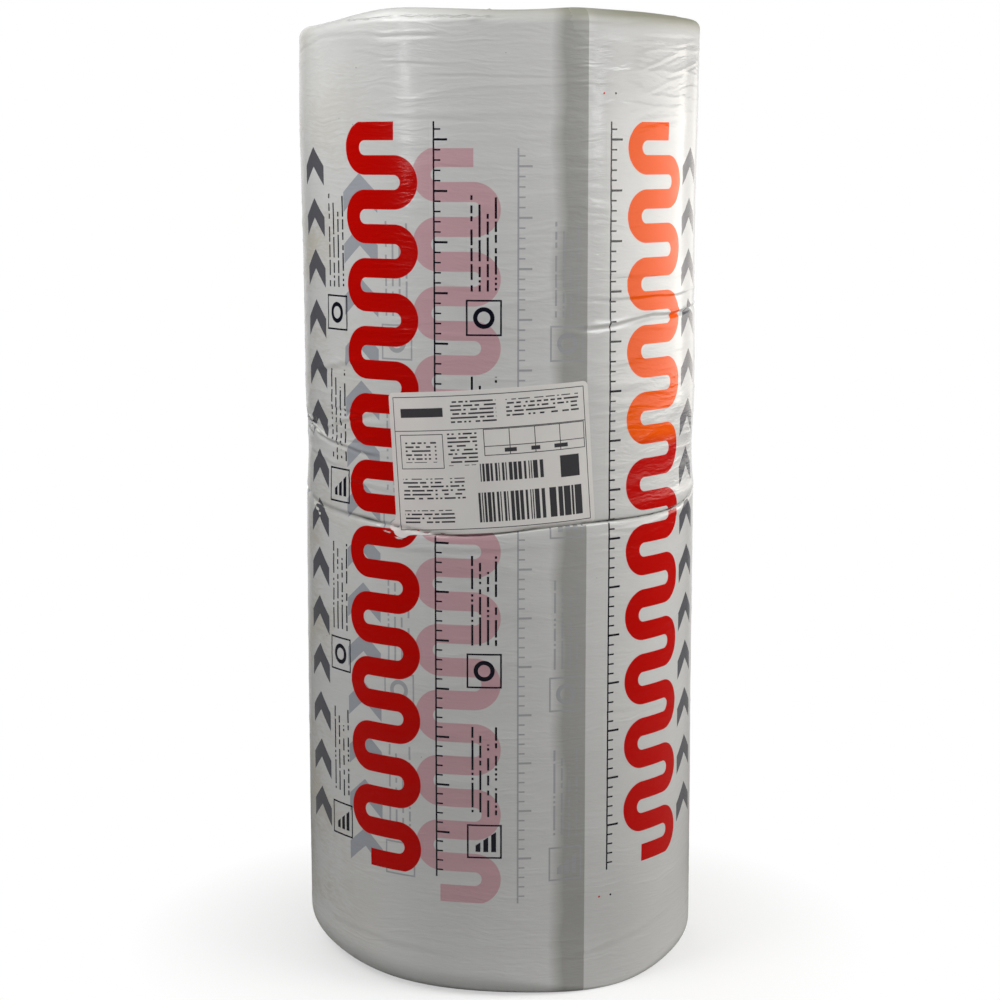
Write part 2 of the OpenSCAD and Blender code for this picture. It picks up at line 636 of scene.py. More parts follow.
    def _loops(self, formula: Formula) -> bpy.types.NodeSocket:
        """Draws the broad looped bands.

        Args:
            formula: Arithmetic on the film's map.
        Returns:
            The socket with where their ink lies.
        """
        self._from_column(formula, self.layout.loops_at)
        formula.write("w", "mod(y, 2 * loop_bend) - loop_bend")
        formula.write("q", "p * (1 - 2 * mod(floor(y / (2 * loop_bend)), 2))")
        formula.write("q_out", "max(q - loop_arm, 0)")
        formula.write("q_back", "min(q + loop_arm, 0)")
        formula.write("w_back", "abs(w) - 2 * loop_bend")
        formula.write("near", "abs(root(q_out * q_out + w * w) - loop_bend)")
        formula.write("far", "abs(root(q_back * q_back + w_back * w_back) - loop_bend)")
        formula.write("line", "far + (near - far) * (q > 0)")
        formula.write("past_top", "(y > high - loop_stroke) * (p > loop_arm)")
        formula.write("past_foot", "(y < low + loop_stroke) * (p < 0 - loop_arm)")
        formula.write("zone", "(y > low) * (y < high) * (1 - past_top) * (1 - past_foot)")
        formula.write("bands", "clamp((loop_stroke / 2 - line) / 0.5) * zone")
        return formula.write("loops", f"max(bands, {self._dot(formula, self.layout.dots_at[0])})")

    def _dot(self, formula: Formula, place: float) -> str:
        """Draws a register dot near each end of the print.

        Args:
            formula: Arithmetic on the film's map.
            place: Where the column of dots stands.
        Returns:
            The formula of where their ink lies.
        """
        self._from_column(formula, [place])
        formula.write("rise", "abs(abs(y - dots_middle) - dots_apart)")
        return "(p * p + rise * rise < dot_r * dot_r)"

    def _arrows(self, formula: Formula) -> bpy.types.NodeSocket:
        """Draws the columns of arrow heads.

        Args:
            formula: Arithmetic on the film's map.
        Returns:
            The socket with where their ink lies.
        """
        self._from_column(formula, self.layout.arrows_at)
        formula.write("lean", "y + 0.8 * abs(p)")
        formula.write("arrow", "(abs(mod(lean, arrow_pitch) - arrow_pitch / 2) < arrow_stroke / 2)")
        formula.write("zone", "(lean > 3 * arrow_pitch) * (lean < 17 * arrow_pitch)")
        return formula.write("arrows", "arrow * zone * (abs(p) < arrow_half)")

    def _lines(self, tree: bpy.types.NodeTree, formula: Formula) -> bpy.types.NodeSocket:
        """Draws the thin motifs: tick rules, and framed figures with rows of dashes between them.

        Args:
            tree: Node tree of the material.
            formula: Arithmetic on the film's map.
        Returns:
            The socket with where their ink lies.
        """
        # Rules with a tick each 10 mm and a longer one each 50 mm
        self._from_column(formula, self.layout.rule_at)
        formula.write("tick", "(abs(mod(y, 10) - 5) < 0.8) * (abs(p - rule_tick / 2) < rule_tick / 2)")
        formula.write("long_tick", "(abs(mod(y, 50) - 25) < 1.1) * (abs(p - rule_tick) < rule_tick)")
        formula.write("rule", "max(max(tick, long_tick), abs(p) < 0.9) * (y > low) * (y < high)")
        # Frames that hold a ring or rising bars in turn
        self._from_column(formula, self.layout.frames_at)
        formula.write("cell", "floor((y - frames_low) / frame_pitch)")
        formula.write("rise", "mod(y - frames_low, frame_pitch) - frame_half - 4")
        formula.write("frame", "abs(max(abs(p), abs(rise)) - frame_half) < 0.9")
        formula.write("ring", "abs(root(p * p + rise * rise) - 8.5) < 2.2")
        formula.write("bars", "(mod(p + 12, 8) > 3) * (abs(p) < 12) * (rise > 0 - 11) * "
                              "(rise < 2 + 0.7 * p)")
        formula.write("figure", "max(frame, bars + (ring - bars) * mod(cell, 2))")
        # Rows of dashes from each frame to the next
        formula.write("row", "floor((p + 2 * line_pitch) / line_pitch)")
        formula.write("dash", "floor(y / 2.6)")
        spot = add_node(tree, "ShaderNodeCombineXYZ", {0: formula.names["row"], 1: formula.names["dash"]})
        formula.names["draw_lot"] = add_node(tree, "ShaderNodeTexWhiteNoise", {"Vector": spot.outputs[0]},
                                             noise_dimensions="2D").outputs[0]
        formula.write("stroke", "(abs(mod(p, line_pitch) - line_pitch / 2) < 1.1) * (draw_lot > 0.26)")
        formula.write("dashes", "stroke * (abs(p) < 2 * line_pitch) * (rise > 26) * "
                                "(rise < 120 - 9 * mod(row, 3))")
        formula.write("zone", "(cell > 0 - 0.5) * (cell < 3.5)")
        formula.write("thin", "max(rule, max(figure, dashes) * zone)")
        return formula.write("lines", f"max(thin, {self._dot(formula, self.layout.dots_at[1])})")


@dataclass(frozen=True)
class StoneWool:
    """Stone wool: matted mineral fibre, dull, in fine layers along the mat, with darker specks of slag.

    Its fibres are too fine to show one by one, so they are drawn as thin layers.
    """

    pale: str = "#A79C74"
    deep: str = "#6E6547"
    speck: str = "#3F3A2C"
    layer: float = 1.6 * MM
    fibre: float = 35 * MM
    clump: float = 18 * MM
    grain: float = 7 * MM

    def make(self) -> bpy.types.Material:
        """Builds the material.

        Returns:
            The wool's material, which reads the mat's own map in metres along and across it.
        """
        material, shader = new_material("stone_wool")
        tree = material.node_tree
        mat = add_node(tree, "ShaderNodeUVMap", uv_map="mat")
        scaled = add_node(tree, "ShaderNodeVectorMath",
                          {0: mat.outputs[0], 1: (1 / self.fibre, 1 / self.layer, 1)}, operation="MULTIPLY")
        fibres = add_node(tree, "ShaderNodeTexNoise",
                          {"Vector": scaled.outputs[0], "Scale": 1.0, "Detail": 6.0, "Distortion": 0.6},
                          noise_dimensions="2D")
        place = add_node(tree, "ShaderNodeTexCoord").outputs["Object"]
        clumps = add_node(tree, "ShaderNodeTexNoise",
                          {"Vector": place, "Scale": 1 / self.clump, "Detail": 5.0})
        specks = add_node(tree, "ShaderNodeTexVoronoi", {"Vector": place, "Scale": 1 / self.grain})
        formula = Formula(tree, fibres=fibres.outputs[0], clumps=clumps.outputs[0],
                          specks=specks.outputs[0])
        formula.write("tone", "clamp(1.5 * (fibres - 0.5) + 0.9 * (clumps - 0.5) + 0.5)")
        formula.write("dark", "clamp((0.12 - specks) * 12) * 0.7")
        formula.write("relief", "0.6 * fibres + 0.4 * clumps")
        wool = add_node(tree, "ShaderNodeMix", {"Factor": formula.names["tone"], "A": linear(self.deep),
                                                "B": linear(self.pale)}, data_type="RGBA")
        specked = add_node(tree, "ShaderNodeMix",
                           {"Factor": formula.names["dark"], "A": wool.outputs["Result"],
                            "B": linear(self.speck)}, data_type="RGBA")
        bump = add_node(tree, "ShaderNodeBump", {"Strength": 0.9, "Distance": 2 * MM,
                                                 "Height": formula.names["relief"]})
        formula.write("rough", "0.88 + 0.1 * clumps")
        tree.links.new(specked.outputs["Result"], shader.inputs["Base Color"])
        tree.links.new(formula.names["rough"], shader.inputs["Roughness"])
        tree.links.new(bump.outputs[0], shader.inputs["Normal"])
        return material


@dataclass(frozen=True)
class LabelPaper:
    """Coated label paper: white and satin, printed in one dark ink with a plain form of bars and boxes."""

    paper: str = "#E8E6E1"
    tint: str = "#DEDAD8"
    blush: str = "#E2D6D4"
    ink: str = "#0D0B1A"
    gloss: float = 0.22
    line: float = 0.8
    mottle: float = 40

    def make(self) -> bpy.types.Material:
        """Builds the material.

        Returns:
            The label's material, which reads the label's own map in metres from its lower left corner.
        """
        material, shader = new_material("coated_label_paper")
        tree = material.node_tree
        sheet = add_node(tree, "ShaderNodeUVMap", uv_map="sheet")
        in_mm = add_node(tree, "ShaderNodeVectorMath", {0: sheet.outputs[0], 1: (1 / MM,) * 3},
                         operation="MULTIPLY")
        parts = add_node(tree, "ShaderNodeSeparateXYZ", {0: in_mm.outputs[0]})
        cloud = add_node(tree, "ShaderNodeTexNoise",
                         {"Vector": in_mm.outputs[0], "Scale": 1 / self.mottle, "Detail": 4.0},
                         noise_dimensions="2D").outputs[0]
        formula = Formula(tree, x=parts.outputs[0], y=parts.outputs[1], cloud=cloud, line=self.line)
        base = add_node(tree, "ShaderNodeMix", {"Factor": cloud, "A": linear(self.paper),
                                                "B": linear(self.tint)}, data_type="RGBA")
        formula.write("warm", "0.7 * clamp(0.9 - x / 70) * clamp(1.6 * cloud)")
        warmed = add_node(tree, "ShaderNodeMix",
                          {"Factor": formula.names["warm"], "A": base.outputs["Result"],
                           "B": linear(self.blush)}, data_type="RGBA")
        printed = add_node(tree, "ShaderNodeMix",
                           {"Factor": self._ink(tree, formula), "A": warmed.outputs["Result"],
                            "B": linear(self.ink)}, data_type="RGBA")
        formula.write("rough", "0.36 + 0.14 * cloud")
        bump = add_node(tree, "ShaderNodeBump", {"Strength": 0.25, "Distance": 0.4 * MM, "Height": cloud})
        tree.links.new(printed.outputs["Result"], shader.inputs["Base Color"])
        tree.links.new(formula.names["rough"], shader.inputs["Roughness"])
        shader.inputs["Specular IOR Level"].default_value = self.gloss
        tree.links.new(bump.outputs[0], shader.inputs["Normal"])
        return material

    def _ink(self, tree: bpy.types.NodeTree, formula: Formula) -> bpy.types.NodeSocket:
        """Draws the form. Each of its boxes is given by its middle and its size, in millimetres.

        Args:
            tree: Node tree of the material.
            formula: Arithmetic on the label's map, in millimetres.
        Returns:
            The socket with where the ink lies.
        """
        frames = [(104, 72, 198, 134), (104, 122, 198, 34), (150, 91, 102, 26), (124.5, 91, 0, 26),
                  (150, 91, 0, 26), (175.5, 91, 0, 26), (150, 87, 102, 0), (34, 84, 46, 34)]
        blocks = [(36, 123, 46, 9), (184, 61, 20, 22), (125, 82.5, 12, 4), (150, 82.5, 9, 4),
                  (176, 82.5, 14, 4)]
        rows = [(90, 122, 46, 24), (160, 124, 74, 18), (33, 84, 34, 22), (77, 86, 30, 34),
                (44, 46, 66, 22), (38, 18, 54, 14)]
        bars = [(142, 26, 106, 30), (126, 61, 68, 18)]
        formula.write("ink", "0")
        for x, y, wide, high in frames:
            formula.write("inside", self._box(x, y, f"({wide} + line)", f"({high} + line)"))
            formula.write("hollow", self._box(x, y, f"({wide} - line)", f"({high} - line)"))
            formula.write("ink", "max(ink, inside - hollow)")
        for x, y, wide, high in blocks:
            formula.write("ink", f"max(ink, {self._box(x, y, wide, high)})")
        # Both patterns are drawn cell by cell, and some of the cells stay blank.
        patterns = ((2.3, 4.0, 0.42, 0.3, rows), (1.15, 200.0, 1.0, 0.46, bars))
        for cell_w, cell_h, drawn, fill, zones in patterns:
            column = formula.write("column", f"floor(x / {cell_w})")
            level = formula.write("level", f"floor(y / {cell_h})")
            cell = add_node(tree, "ShaderNodeCombineXYZ", {0: column, 1: level})
            draw = add_node(tree, "ShaderNodeTexWhiteNoise", {"Vector": cell.outputs[0]},
                            noise_dimensions="2D")
            formula.names["draw"] = draw.outputs[0]
            formula.write("mark", f"(draw > {fill}) * (mod(y, {cell_h}) < {drawn * cell_h})")
            for x, y, wide, high in zones:
                formula.write("ink", f"max(ink, mark * {self._box(x, y, wide, high)})")
        return formula.write("printed", "0.94 * ink")

    @staticmethod
    def _box(x: float, y: float, wide: float | str, high: float | str) -> str:
        """Formula that is one inside a box, given by its middle and its size."""
        return f"(abs(x - {x}) < {wide} / 2) * (abs(y - {y}) < {high} / 2)"


@dataclass(frozen=True)
class Fold:
    """A fold in the film: a crisp ridge with a groove under it, between two places.

    A place is an angle from the front in degrees and a height in millimetres. The width and the height
    of the ridge are in millimetres, and worn says how much of the ink along the ridge has flaked off.
    """

    start: tuple[float, float]
    end: tuple[float, float]
    width: float
    height: float
    groove: float = 0.8
    worn: float = 0.0

    def run(self, angle: Array, up: Array) -> tuple[Array, Array]:
        """Follows the fold's line.

        Args:
            angle: Angles from the front, in radians.
            up: Heights along the film, in metres.
        Returns:
            The height over the line in widths of the fold, and how fully the fold shows, from zero to one.
        """
        reach = self.end[0] - self.start[0]
        turn = (np.degrees(angle) - self.start[0] - reach / 2 + 180) % 360 - 180
        share = turn / reach + 0.5
        line = self.start[1] + (self.end[1] - self.start[1]) * share
        shown = np.clip((share + 0.12) / 0.3, 0, 1) * np.clip((1.12 - share) / 0.3, 0, 1)
        return (up / MM - line) / self.width, shown * shown * (3 - 2 * shown)

    def stand(self, angle: Array, up: Array) -> Array:
        """How far the fold stands out of the film, in metres."""
        off, shown = self.run(angle, up)
        return self.height * MM * shown * (np.exp(-np.abs(off)) - self.groove * np.exp(-(off + 1.6) ** 2))

    def wear(self, angle: Array, up: Array) -> Array:
        """How much of the ink has flaked off, from zero up."""
        off, shown = self.run(angle, up)
        return self.worn * shown * np.exp(-off ** 2)


@dataclass(frozen=True)
class Bulge:
    """A swelling of the roll, or a hollow where its height is less than zero.

    Its middle and half size are angles in degrees and heights in millimetres; it stands out in millimetres.
    """

    middle: tuple[float, float]
    half: tuple[float, float]
    height: float

    def stand(self, angle: Array, up: Array) -> Array:
        """How far the swelling stands out, in metres."""
        return self.height * MM * angle_hump(angle, self.middle[0], self.half[0]) * hump(
            up / MM, self.middle[1], self.half[1])


@dataclass(frozen=True)
class Wave:
    """A swell round the roll: its height in millimetres, and its middle and half width in degrees."""

    height: float
    middle: float
    half: float

    def at(self, angle: Array) -> Array:
        """Height of the swell, in metres."""
        return self.height * MM * angle_hump(angle, self.middle, self.half)


class Stretch(Enum):
    """The stretches of the film's section, from the edge of its lower lip to that of its upper one."""

    LOWER_LIP = 0
    LOWER_RIM = 1
    WALL = 2
    UPPER_RIM = 3
    UPPER_LIP = 4


@dataclass
class FilmWrap:
    """The film: a tube shrunk over both rolls, drawn in at their joint and turned in over both ends.

    Its section runs up its outer face and back down its plain inner face, so that it closes on itself.
    """

    radius: float
    height: float
    joint: float
    label: "PaperLabel"
    lip: float = 88 * MM
    slack: float = 5.4 * MM
    lip_slack: float = 1.0 * MM
    columns: int = 180
    outer_rows: tuple[int, ...] = (12, 14, 424, 30, 16)
    inner_rows: tuple[int, ...] = (6, 5, 14, 5, 6)
    rim_low: float = 26 * MM
    rim_high: float = 15 * MM
    waist: float = 3.6 * MM
    crease_waves: tuple[Wave, ...] = (Wave(-11, -12, 22), Wave(12, -88, 24), Wave(14, 90, 22))
    crown_waves: tuple[Wave, ...] = (
        Wave(-8.5, -62, 22), Wave(-9, -95, 26), Wave(2.2, -34, 12),
        Wave(-3.6, 72, 24), Wave(-1.8, 2, 14), Wave(1.2, 22, 7),
    )
    rim_waves: dict[Side, tuple[Wave, ...]] = field(default_factory=lambda: {
        Side.UPPER: (Wave(-5, -78, 42), Wave(-7, 76, 36)),
        Side.LOWER: (Wave(20, -66, 34), Wave(-23, 33, 24)),
    })
    folds: tuple[Fold, ...] = (
        Fold((-80, 592), (-69, 577), 1.5, 2.2, worn=0.6),
        Fold((-77, 588), (-65, 572), 1.4, 2.0, worn=0.8),
        Fold((-70, 581), (-60, 572), 1.7, 1.7, worn=1.2),
        Fold((-70, 575), (-37, 561), 2.0, 1.5, worn=0.5),
        Fold((-60, 580), (-33, 609), 2.2, 0.8),
        Fold((-50, 569), (-37, 578), 1.7, 0.6),
        Fold((-56, 604), (-42, 601), 1.8, 0.6),
        Fold((-49, 534), (-31, 524), 1.8, 1.0),
        Fold((-76, 556), (-52, 545), 2.2, 0.8),
        Fold((-66, 640), (-42, 655), 3.0, 0.8),
        Fold((-71, 499), (-64, 488), 1.8, 0.7, worn=1.3),
        Fold((-38, 489), (-27, 474), 1.7, 1.0, worn=0.7),
        Fold((24, 690), (50, 703), 2.4, 1.5, 1.1),
        Fold((46, 700), (92, 706), 2.4, 1.8, 1.2),
        Fold((26, 719), (86, 721), 2.0, 0.8),
        Fold((30, 742), (70, 738), 2.6, 0.6),
        Fold((40, 979), (70, 979), 1.6, 0.5),
        Fold((37, 970), (52, 971), 1.3, 0.4),
        Fold((58, 968), (73, 975), 1.5, 0.6),
        Fold((43, 944), (60, 962), 1.5, 0.6),
        Fold((54, 938), (76, 955), 1.5, 0.6),
        Fold((45, 920), (57, 934), 1.6, 0.4),
        Fold((38, 898), (52, 907), 1.8, 0.35),
        Fold((43, 892), (60, 897), 1.6, 0.5),
        Fold((21, 967), (31, 966), 1.3, 0.35),
        Fold((-82, 966), (-58, 979), 1.6, 0.45, 0.8),
        Fold((-60, 979), (-34, 979), 1.6, 0.5, 1.0),
        Fold((-37, 978), (-16, 978), 1.5, 0.5, 1.0),
        Fold((-44, 962), (-30, 957), 1.4, 0.3),
        Fold((-34, 953), (-14, 949), 1.4, 0.3),
        Fold((-34, 900), (-4, 896), 1.4, 0.35),
        Fold((-20, 940), (14, 936), 1.6, 0.25),
        Fold((-30, 466), (6, 472), 2.0, 0.8),
        Fold((34, 484), (70, 490), 2.2, 0.6),
        Fold((-60, 60), (-14, 46), 3.0, 0.6),
        Fold((16, 40), (58, 62), 3.0, 0.7),
        Fold((-40, 250), (-8, 258), 2.8, 0.4),
        Fold((28, 300), (62, 290), 2.8, 0.5),
        Fold((120, 980), (170, 972), 3.0, 1.2),
        Fold((130, 640), (190, 660), 2.8, 1.2),
        Fold((150, 540), (215, 552), 2.6, 1.2),
        Fold((105, 60), (160, 44), 3.0, 1.0),
        Fold((205, 968), (250, 984), 2.8, 1.1),
        Fold((200, 300), (245, 310), 2.8, 0.6),
    )
    bulges: tuple[Bulge, ...] = (
        Bulge((-85, 930), (38, 110), 2.2),
        Bulge((-86, 552), (34, 38), -2.4),
        Bulge((86, 770), (40, 120), -2.5),
        Bulge((84, 552), (36, 36), -2.4),
        Bulge((84, 507), (34, 9), 1.2),
        Bulge((175, 800), (50, 120), 1.5),
        Bulge((140, 250), (45, 110), -1.2),
    )
    dents: tuple[Bulge, ...] = (
        Bulge((-77, 581), (7, 7), -3.6),
        Bulge((84, 706), (9, 6), -1.6),
        Bulge((-6.5, 991), (1.6, 3), 1.5),
    )
    weave: Weave = field(init=False)
    piece: bpy.types.Object = field(init=False)

    def __post_init__(self) -> None:
        """Sets up the film's relief and the stations of its mesh, which lie closer where its folds are."""
        self.weave = Weave(2 * math.pi * self.radius, seed=11)
        turn = np.linspace(-math.pi, math.pi, 721)
        close = 1 + 0.65 * np.cos(turn) + 0.8 * angle_hump(turn, -72, 14)
        self._angles = spread(close, (-math.pi, math.pi), self.columns + 1)
        # The rows lie closer at the joint, the pinch at the left, the fold at the right and under the rim.
        z = np.linspace(0, self.height, 2001)
        close = 1 + 8 * hump(z, self.joint + 1 * MM, 6 * MM) + 1.8 * hump(z, 578 * MM, 40 * MM)
        close += 1.3 * hump(z, 707 * MM, 26 * MM) + 1.6 * hump(z, 950 * MM, 45 * MM)
        shares = [np.linspace(0, 1, count + 1)[1:] for count in self.outer_rows + self.inner_rows]
        shares[Stretch.WALL.value] = spread(close, (0, 1), self.outer_rows[Stretch.WALL.value] + 1)[1:]
        self._stations = np.concatenate([[0.0], *[share + index for index, share in enumerate(shares)]])

    def crease(self, angle: Array) -> Array:
        """Height of the crease at the joint: it sags under the label and climbs to the right of it."""
        return self.joint + 1 * MM + sum(wave.at(angle) for wave in self.crease_waves)

    def rim(self, angle: Array, side: Side) -> Array:
        """Rounding of the film over the outer edge of an end, which differs round the roll."""
        even = self.rim_high if side is Side.UPPER else self.rim_low
        return even + sum(wave.at(angle) for wave in self.rim_waves[side])

    def crown(self, angle: Array) -> Array:
        """Height of the upper end, which lies lower at the left and a little lower at the right."""
        return self.height + sum(wave.at(angle) for wave in self.crown_waves)

    def dip(self, angle: Array, radial: Array) -> Array:
        """How far the turned-in film lies under the even upper end.

        Args:
            angle: Angles from the front, in radians.
            radial: Distances from the roll's axis.
        Returns:
            Distances down, most along the rim and none at the film's edge.
        """
        rim = self.rim(angle, Side.UPPER)
        inward = np.clip((self.radius - rim - radial) / (self.lip - rim), 0, 1)
        return np.maximum(self.height - self.crown(angle), 0) * (1 - inward * inward)

    def broad(self, angle: Array, up: Array) -> Array:
        """Broad form of the film, which its inner face follows too.

        Args:
            angle: Angles from the front, in radians.
            up: Heights along the film.
        Returns:
            Distances outwards.
        """
        lumps = 0.6 * MM * self.weave.at(angle * self.radius + 0.3, up, 150 * MM, 170 * MM)
        return lumps + sum(bulge.stand(angle, up) for bulge in self.bulges)

    def relief(self, angle: Array, up: Array) -> Array:
        """How far the outer face stands out from its even shape.

        Args:
            angle: Angles from the front, in radians.
            up: Heights along the film.
        Returns:
            Distances outwards.
        """
        across = angle * self.radius
        noise = self.weave.at
        # Wrinkles run round the roll and waver: long ones all over, short ones in patches.
        bend = up + 8 * MM * noise(across, up, 120 * MM, 90 * MM)
        long_folds = 1 - np.abs(noise(across, bend, 190 * MM, 24 * MM))
        short_folds = 1 - np.abs(noise(across + 0.1, bend, 75 * MM, 13 * MM))
        patches = np.clip(0.55 + noise(across + 0.5, up, 150 * MM, 120 * MM), 0, 1)
        wrinkles = 0.3 * MM * long_folds ** 5 + 0.4 * MM * short_folds ** 7 * patches
        wrinkles = wrinkles * np.clip(0.3 + up / (650 * MM), 0.3, 1)
        bent = self._bent(angle, up)
        folds = sum(fold.stand(angle, bent) for fold in self.folds)
        dents = sum(dent.stand(angle, up) for dent in self.dents)
        # The film is crumpled in the pinch at the left, and lies flat under the label.
        pinched = angle_hump(angle, -75, 8) * hump(up / MM, 581, 14)
        crumple = 1.5 * MM * noise(across, up, 9 * MM, 5 * MM) * pinched
        calm = 1 - 0.8 * self.label.cover(angle, up)
        fine = (wrinkles + folds + crumple + dents) * calm
        return self.broad(angle, up) + fine + self._waist(angle, up) + self._pucker(angle, up)

    def wear(self, angle: Array, up: Array) -> Array:
        """How much of the ink has flaked off along the folds, and a painted highlight just under the
        crease.

        Args:
            angle: Angles from the front, in radians.
            up: Heights along the film.
        Returns:
            Shares from zero to one.
        """
        bent = self._bent(angle, up)
        flaked = sum(fold.wear(angle, bent) for fold in self.folds)
        # The line just under the crease is a painted highlight.
        return np.clip(flaked + 0.75 * hump(up - self.crease(angle), -1.2 * MM, 1 * MM), 0, 1)

    def slit(self, angle: Array, up: Array) -> Array:
        """How deep a place lies in the slit of the crease at the joint, from zero to one; it also sets the
        painted shade there.
        """
        return np.exp(-np.abs(up - self.crease(angle)) / (1.0 * MM)) * (1 - self.label.cover(angle, up))

    def _bent(self, angle: Array, up: Array) -> Array:
        """Heights along the film, moved so that straight folds waver."""
        return up + 1.5 * MM * self.weave.at(angle * self.radius, up, 30 * MM, 60 * MM)

    def _waist(self, angle: Array, up: Array) -> Array:
        """The crease at the joint: a narrow slit, with a round edge over it and a rounder one under it.

        Args:
            angle: Angles from the front, in radians.
            up: Heights along the film.
        Returns:
            Distances outwards, all less than zero.
        """
        off = up - self.crease(angle)
        depth = self.waist * (0.85 + 0.35 * self.weave.at(angle * self.radius, up * 0, 60 * MM, 1))
        slit = depth * np.exp(-np.abs(off) / (0.7 * MM))
        over = 0.5 * MM * np.exp(-np.abs(off) / (1.6 * MM))
        under = 1.1 * MM * np.exp(-np.abs(off) / (3.4 * MM))
        return -slit - np.where(off > 0, over, under)

    def _pucker(self, angle: Array, up: Array) -> Array:
        """The puckered line where the film is gathered on the front of the upper rim.

        Args:
            angle: Angles from the front, in radians.
            up: Heights along the film.
        Returns:
            Distances outwards, none of them over zero.
        """
        across = angle * self.radius
        line = 992 * MM + 1.2 * MM * self.weave.at(across, up * 0, 9 * MM, 1)
        reach = np.clip((np.degrees(angle) + 54) / 8, 0, 1) * np.clip((8 - np.degrees(angle)) / 12, 0, 1)
        broken = 0.5 + 0.5 * self.weave.at(across + 0.7, up * 0, 13 * MM, 1)
        return -1.1 * MM * reach * broken * np.exp(-np.abs(up - line) / (1.1 * MM))

    def unrolled(self, along: Array, across: Array) -> tuple[Array, Array, Array, Array, Array]:
        """Follows the film's section up its outer face and down its inner face.

        Args:
            along: Shares round the roll.
            across: Shares along the section.
        Returns:
            The angle, the number of the stretch, the share of it that is passed, the height up the even
            film, and whether the place is on the inner face.
        """
        angle = np.interp(along, np.linspace(0, 1, len(self._angles)), self._angles)
        station = np.interp(across, np.linspace(0, 1, len(self._stations)), self._stations)
        ends = len(Stretch)
        inner = station > ends
        station = np.where(inner, 2 * ends - station, station)
        part = np.minimum(np.floor(station), ends - 1).astype(int)
        share = station - part
        low, high = self.rim(angle, Side.LOWER), self.rim(angle, Side.UPPER)
        top = self.crown(angle)
        wall = low + share * (top - high - low)
        wall = wall + (self.crease(angle) - self.joint) * hump(wall, self.joint, 55 * MM)
        quarter = math.pi / 2
        up = np.choose(part, [low - quarter * low - (1 - share) * (self.lip - low),
                              low - quarter * low * (1 - share),
                              wall,
                              top - high + quarter * high * share,
                              top - high + quarter * high + share * (self.lip - high)])
        return angle, part, share, up, inner

    def place(self, along: Array, across: Array) -> Array:
        """Points of the film.

        Args:
            along: Shares round the roll.
            across: Shares along the section.
        Returns:
            One point for each pair of shares.
        """
        angle, part, share, up, inner = self.unrolled(along, across)
        low, high, top = self.rim(angle, Side.LOWER), self.rim(angle, Side.UPPER), self.crown(angle)
        quarter = math.pi / 2
        stand = np.where(inner, self.broad(angle, up) - self._inset(part, share), self.relief(angle, up))
        lower_turn, upper_turn = share * quarter, (1 - share) * quarter
        low_lip = self._lip(angle, 1 - share, Side.LOWER)
        high_lip = self._lip(angle, share, Side.UPPER)
        hold_low, hold_high = share ** 2, (1 - share) ** 2
        inset = np.where(inner, self._inset(part, share), 0)
        radial = np.choose(part, [low_lip[0],
                                  self.radius - low + (low + stand) * np.sin(lower_turn),
                                  self.radius + stand,
                                  self.radius - high + (high + stand) * np.sin(upper_turn),
                                  high_lip[0]])
        level = np.choose(part, [low_lip[1] + inset * (1 - hold_low) - stand * hold_low,
                                 low - (low + stand) * np.cos(lower_turn),
                                 up,
                                 top - high + (high + stand) * np.cos(upper_turn),
                                 top + high_lip[1] - inset * (1 - hold_high) + stand * hold_high])
        return np.stack([radial * np.sin(angle), -radial * np.cos(angle), np.maximum(level, 0)], axis=1)

    def _inset(self, part: Array, share: Array) -> Array:
        """How far the inner face lies in from the outer one: none at the film's edges, most on the wall.

        Args:
            part: Numbers of the stretches.
            share: Shares of them that are passed.
        Returns:
            Distances inwards.
        """
        thin, thick = self.lip_slack, self.slack
        return np.choose(part, [thin * np.clip(4 * share, 0, 1),
                                thin + (thick - thin) * share,
                                thick,
                                thick + (thin - thick) * share,
                                thin * np.clip(4 - 4 * share, 0, 1)])

    def _lip(self, angle: Array, inward: Array, side: Side) -> tuple[Array, Array]:
        """The film that is turned in over an end, with a wavy edge and pleats.

        Args:
            angle: Angles from the front, in radians.
            inward: Shares from the rim to the film's edge.
            side: Which end it is.
        Returns:
            The distance from the roll's axis, and how high the pleats lift the film off the end.
        """
        across = angle * self.radius
        shift = 0.4 * side.value
        start = self.radius - self.rim(angle, side)
        edge = self.radius - self.lip + 9 * MM * self.weave.at(across + shift, across * 0, 120 * MM, 1)
        edge = edge + 4 * MM * self.weave.at(across + 2 * shift, across * 0, 34 * MM, 1)
        pleat = 1 - np.abs(self.weave.at(across + shift + 0.02 * inward, across * 0, 30 * MM, 1))
        wave = self.weave.at(across + 3 * shift, across * 0, 150 * MM, 1)
        tall = 2.4 * MM if side is Side.UPPER else 1.5 * MM
        lift = tall * pleat ** 5 * inward ** 2.2 + 0.5 * tall * (1 + wave) * inward ** 3
        if side is Side.UPPER:
            lift = lift + (self.height - self.crown(angle)) * inward * inward
        return start + (edge - start) * inward, lift

